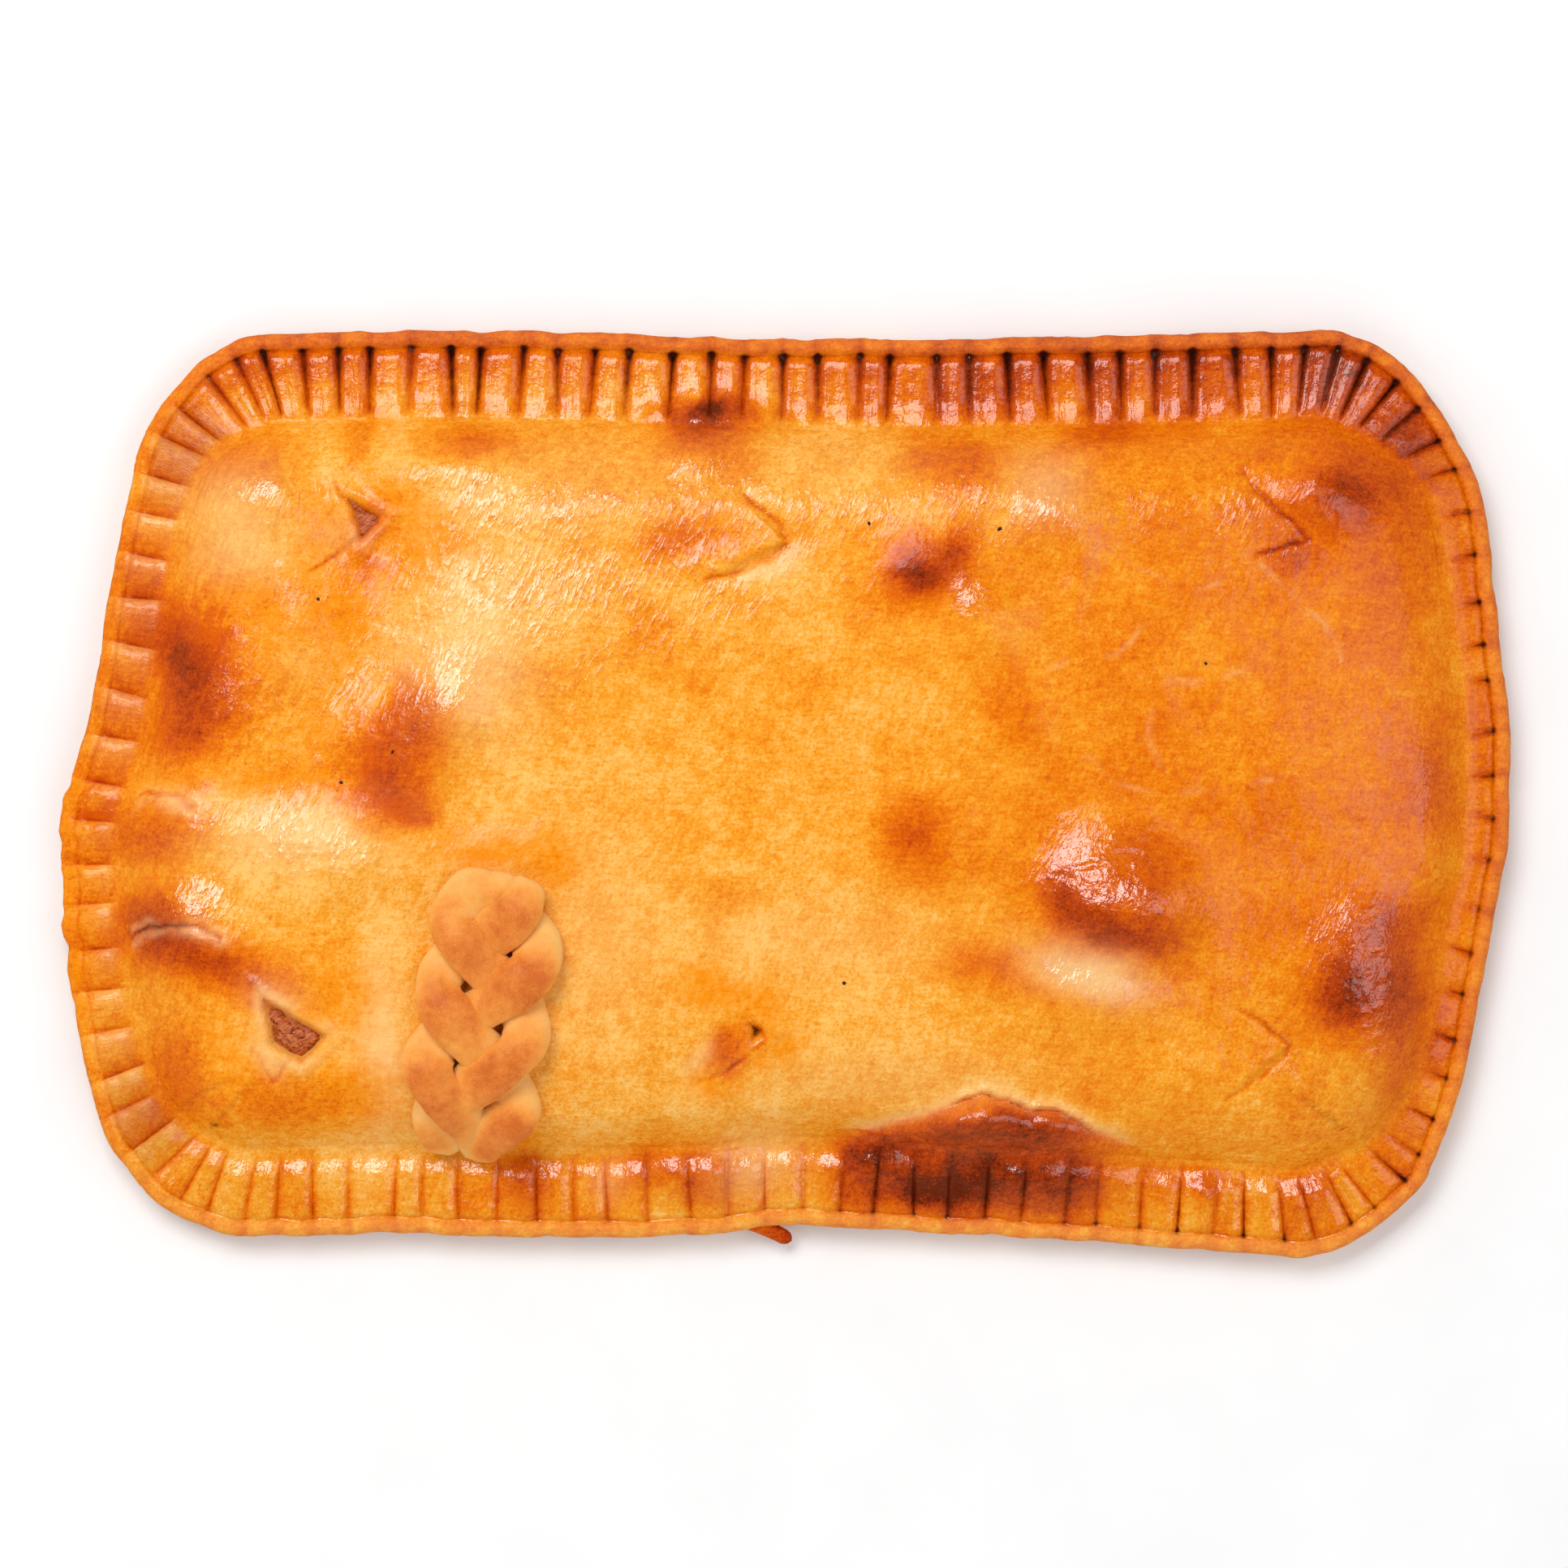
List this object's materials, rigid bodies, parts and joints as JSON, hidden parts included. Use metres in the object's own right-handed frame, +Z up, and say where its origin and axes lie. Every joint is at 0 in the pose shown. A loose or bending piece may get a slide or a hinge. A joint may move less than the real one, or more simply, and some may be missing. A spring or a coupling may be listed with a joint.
{
  "type": "empanada",
  "caption": "Large rectangular baked empanada with a fork-crimped rim, a domed egg-washed lid with chevron steam vents, and a plaited dough ornament.",
  "frame": {"origin": "middle of the flat underside, under the centre of the bounding box", "axes": "+X along the pie's long side, +Y across it away from the plaited ornament's side, +Z up out of the lid"},
  "size_m": [0.3, 0.1919, 0.0323],
  "materials": {
    "baked_crust": "egg-washed golden crust with brown blisters",
    "ornament_dough": "paler dry baked dough",
    "filling": "moist red-brown meat filling"
  },
  "bodies": {
    "root": {"crust": "baked_crust", "dough_plait": "ornament_dough", "filling_upper_left": "filling", "filling_lower_left": "filling"}
  },
  "joints": []
}
